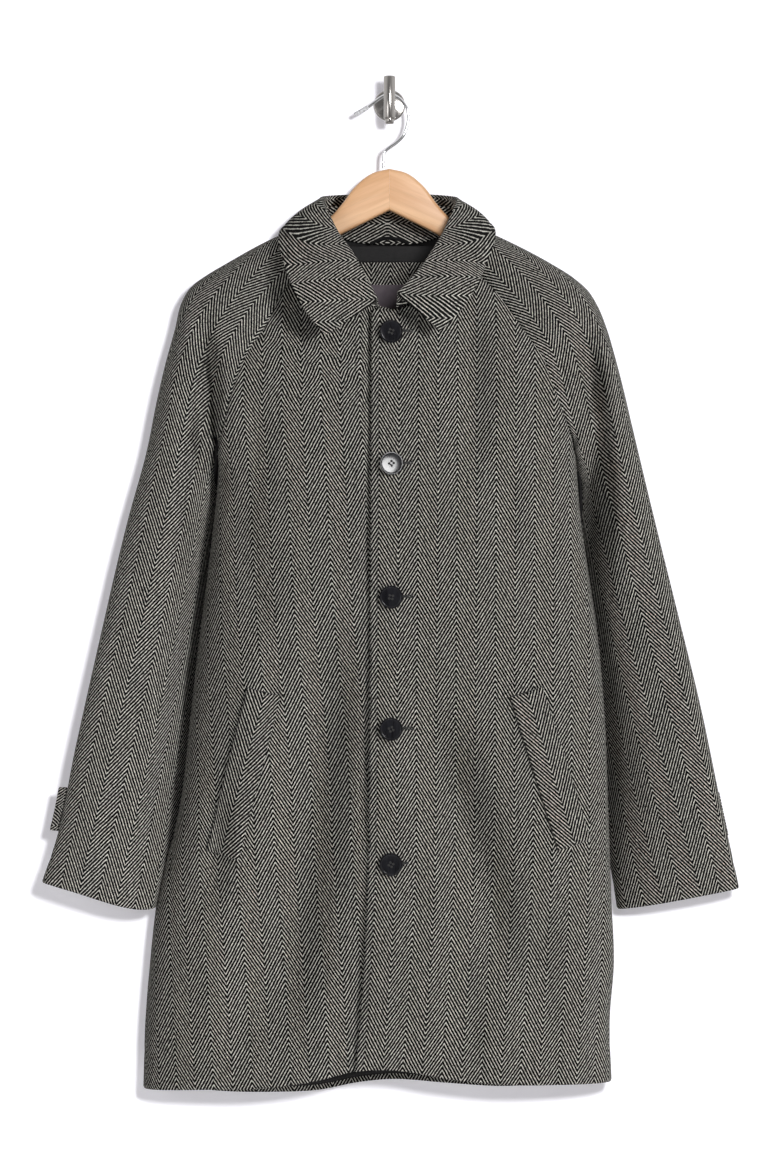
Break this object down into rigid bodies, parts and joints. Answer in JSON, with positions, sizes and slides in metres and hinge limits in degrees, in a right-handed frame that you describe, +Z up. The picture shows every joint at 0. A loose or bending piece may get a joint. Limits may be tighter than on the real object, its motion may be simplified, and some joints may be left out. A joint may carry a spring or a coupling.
{
  "type": "raglan overcoat on hanger and wall hook",
  "caption": "Herringbone wool raglan overcoat with turn-down collar, slanted welt pockets and buttoned front, hanging on a wooden hanger from a metal wall hook.",
  "frame": {"origin": "middle of the wall hook rosette's back face, which lies on the wall", "axes": "+Z up, +X to the viewer's right, +Y into the wall; the coat hangs in front of the wall at y < 0"},
  "size_m": [0.8122, 0.1313, 1.1918],
  "materials": {
    "wool": "black and pale grey herringbone wool",
    "lining": "smooth black lining",
    "label": "bare woven label",
    "loop": "black tape",
    "horn": "polished dark horn",
    "maple": "satin pale maple",
    "chrome": "bright plated wire",
    "clear_tip": "clear soft plastic",
    "nickel": "brushed nickel"
  },
  "bodies": {
    "root": {"front_left": "wool", "front_right": "wool", "back": "wool", "sleeve_front_left": "wool", "sleeve_back_left": "wool", "sleeve_front_right": "wool", "sleeve_back_right": "wool", "collar_fall": "wool", "collar_stand": "wool", "welt_left": "wool", "welt_right": "wool", "cuff_tab_left": "wool", "cuff_tab_right": "wool", "back_neck_facing": "wool", "neck_lining": "lining", "back_hem_lining": "lining", "neck_label": "label", "hanger_loop": "loop", "button_1": "horn", "button_2": "horn", "button_3": "horn", "button_4": "horn", "button_5": "horn", "hanger_arm_left": "maple", "hanger_arm_right": "maple", "hanger_hook": "chrome", "hook_tip": "clear_tip", "wall_rosette": "nickel", "wall_post": "nickel", "wall_bar": "nickel"}
  },
  "joints": []
}
